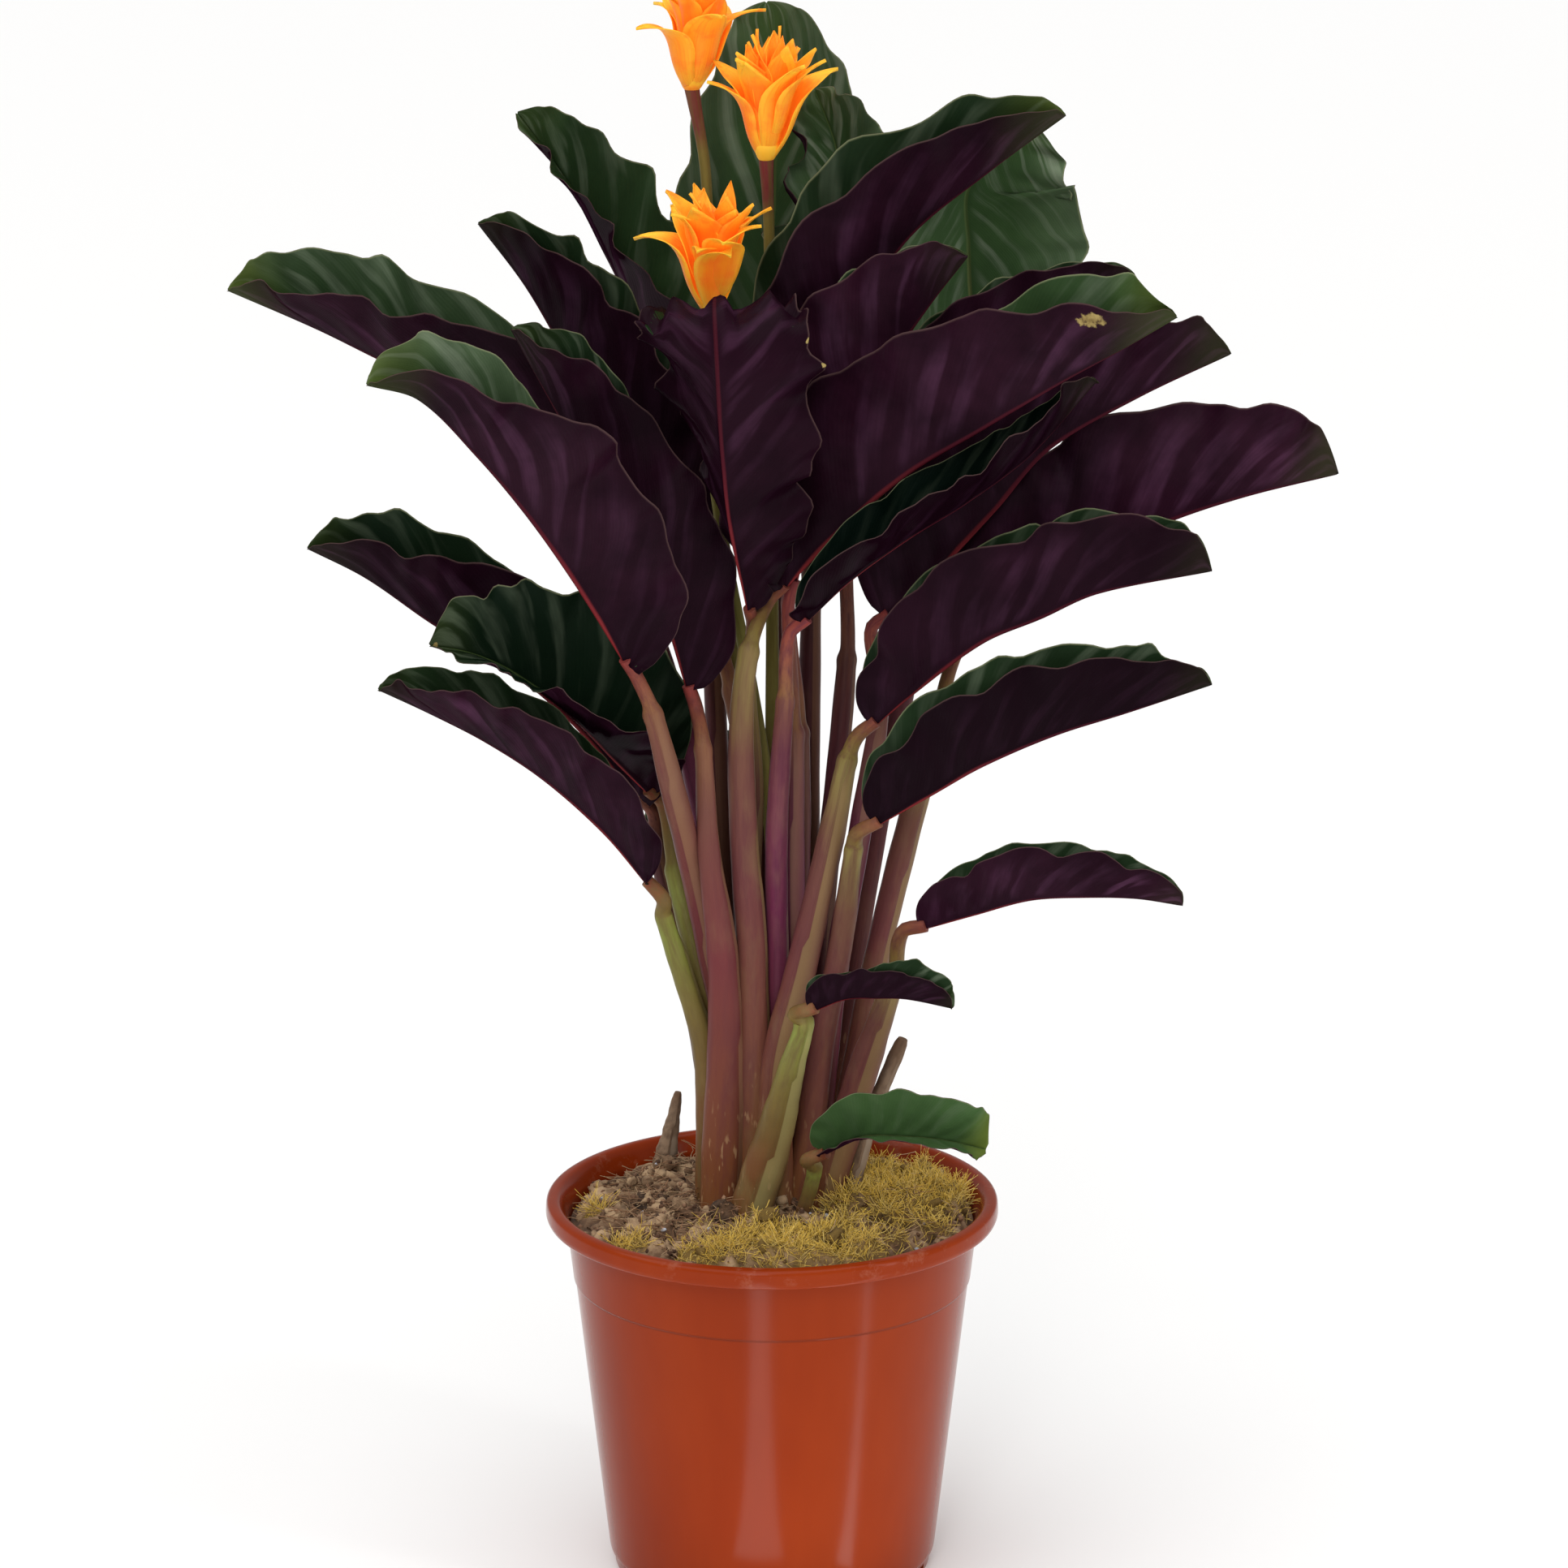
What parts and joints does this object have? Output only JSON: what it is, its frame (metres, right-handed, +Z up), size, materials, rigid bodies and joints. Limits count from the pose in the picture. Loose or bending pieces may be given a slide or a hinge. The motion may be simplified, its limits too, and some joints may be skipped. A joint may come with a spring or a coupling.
{
  "type": "potted flowering houseplant",
  "caption": "Eternal flame calathea with long folded dark leaves and orange bract flower heads, growing in a tapered plastic nursery pot.",
  "frame": {"origin": "on the ground, under the middle of the bounding box of the whole plant and pot; the pot's axis is vertical and meets the ground 7 mm to -X and 8 mm to +Y of it", "axes": "+Z up along the pot's axis, +X to the right and -Y towards the viewer as seen from the front of the plant"},
  "size_m": [0.3977, 0.1958, 0.6058],
  "materials": {
    "pot": "satin",
    "soil": "matte",
    "blade": "satin",
    "stalk": "satin",
    "flower_stalk": "satin",
    "bract": "satin",
    "stub": "matte"
  },
  "bodies": {
    "root": {"pot": "pot", "soil": "soil", "leaf_front_centre": "blade", "stalk_front_centre": "stalk", "leaf_left_outer": "blade", "stalk_left_outer": "stalk", "leaf_left_big": "blade", "stalk_left_big": "stalk", "leaf_left_inner": "blade", "stalk_left_inner": "stalk", "leaf_upper_left": "blade", "stalk_upper_left": "stalk", "leaf_back_left": "blade", "stalk_back_left": "stalk", "leaf_back_top": "blade", "stalk_back_top": "stalk", "leaf_back_middle": "blade", "stalk_back_middle": "stalk", "leaf_upper_right": "blade", "stalk_upper_right": "stalk", "leaf_back_right": "blade", "stalk_back_right": "stalk", "leaf_right_inner": "blade", "stalk_right_inner": "stalk", "leaf_right_hidden": "blade", "stalk_right_hidden": "stalk", "leaf_right_big": "blade", "stalk_right_big": "stalk", "leaf_right_second": "blade", "stalk_right_second": "stalk", "leaf_right_cupped": "blade", "stalk_right_cupped": "stalk", "leaf_right_outer": "blade", "stalk_right_outer": "stalk", "leaf_right_lower": "blade", "stalk_right_lower": "stalk", "leaf_right_low": "blade", "stalk_right_low": "stalk", "leaf_right_small": "blade", "stalk_right_small": "stalk", "leaf_centre_small": "blade", "stalk_centre_small": "stalk", "leaf_soil_leaf": "blade", "stalk_soil_leaf": "stalk", "leaf_left_low": "blade", "stalk_left_low": "stalk", "leaf_left_green": "blade", "stalk_left_green": "stalk", "leaf_left_lowest": "blade", "stalk_left_lowest": "stalk", "leaf_back_low": "blade", "stalk_back_low": "stalk", "flower_stalk_tall": "flower_stalk", "flower_head_tall": "bract", "flower_stalk_middle": "flower_stalk", "flower_head_middle": "bract", "flower_stalk_short": "flower_stalk", "flower_head_short": "bract", "cut_stub": "stub", "dead_stub": "stub"}
  },
  "joints": []
}
